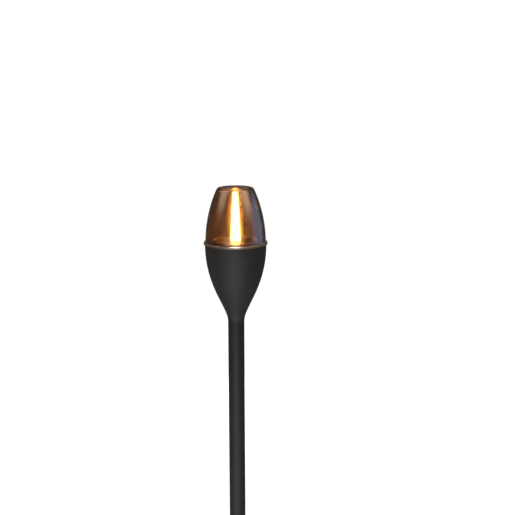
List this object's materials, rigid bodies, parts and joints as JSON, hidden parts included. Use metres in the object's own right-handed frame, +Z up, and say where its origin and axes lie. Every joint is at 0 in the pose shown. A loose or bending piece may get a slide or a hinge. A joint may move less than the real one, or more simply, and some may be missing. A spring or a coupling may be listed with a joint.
{
  "type": "solar garden torch",
  "caption": "Solar garden torch: black tulip cup, smoked cap over a glowing flame stick, two-piece tube pole and cross-bladed ground spike.",
  "frame": {"origin": "on the pole's axis at the ground line, on the underside of the spike's collar", "axes": "+Z up along the pole; +X along the battery bay, towards the cell's plus end; +Y towards the switch"},
  "size_m": [0.0852, 0.0852, 0.9179],
  "materials": {
    "moulded_black": "fine-textured black moulded plastic",
    "painted_black": "satin black powder coat on steel tube",
    "smoked_clear": "polished smoked transparent plastic",
    "seal_rubber": "matt black rubber",
    "board_dark": "dark laminate",
    "cell_blue": "dark blue silicon",
    "panel_resin": "glossy dark resin over the solar cells",
    "frosted_warm": "frosted plastic, lit warm from inside",
    "board_white": "white solder mask",
    "lamp_chip": "phosphor lamp chips",
    "board_green": "green solder mask",
    "component_black": "black moulded component",
    "nickel": "bright nickel-plated steel",
    "wire_red": "red PVC insulation",
    "cell_sleeve": "plain green shrink sleeve, no lettering"
  },
  "bodies": {
    "ground_spike": {"ground_spike": "moulded_black"},
    "lower_pole": {"lower_pole": "painted_black", "pole_joiner": "moulded_black"},
    "upper_pole": {"upper_pole": "painted_black"},
    "cup": {"cup": "moulded_black"},
    "light_unit": {"smoked_cap": "smoked_clear", "cap_gasket": "seal_rubber", "unit_housing": "moulded_black", "unit_o_ring": "seal_rubber", "panel_board": "board_dark", "solar_cells": "cell_blue", "panel_cover": "panel_resin", "flame_stick": "frosted_warm", "stick_retainer": "moulded_black", "led_board": "board_white", "led_chips": "lamp_chip", "control_board": "board_green", "board_parts": "component_black", "board_screws": "nickel", "unit_base": "moulded_black", "base_screws": "nickel", "plus_contact": "nickel", "minus_spring": "nickel", "switch_body": "nickel", "solar_leads": "wire_red", "battery_leads": "wire_red"},
    "switch_knob": {"switch_knob": "component_black"},
    "battery": {"battery_cell": "cell_sleeve", "battery_button": "nickel"}
  },
  "joints": [
    {"name": "lower_pole_lift", "type": "slide", "parent": "ground_spike", "child": "lower_pole", "axis": [0, 0, 1], "range_m": [0, 0.05]},
    {"name": "upper_pole_lift", "type": "slide", "parent": "lower_pole", "child": "upper_pole", "axis": [0, 0, 1], "range_m": [0, 0.05]},
    {"name": "head_lift", "type": "slide", "parent": "upper_pole", "child": "cup", "axis": [0, 0, 1], "range_m": [0, 0.04]},
    {"name": "unit_lift", "type": "slide", "parent": "cup", "child": "light_unit", "axis": [0, 0, 1], "range_m": [0, 0.08]},
    {"name": "switch_slide", "type": "slide", "parent": "light_unit", "child": "switch_knob", "axis": [1, 0, 0], "range_m": [0, 0.003]},
    {"name": "battery_out", "type": "slide", "parent": "light_unit", "child": "battery", "axis": [0, 0, -1], "range_m": [0, 0.018]}
  ]
}
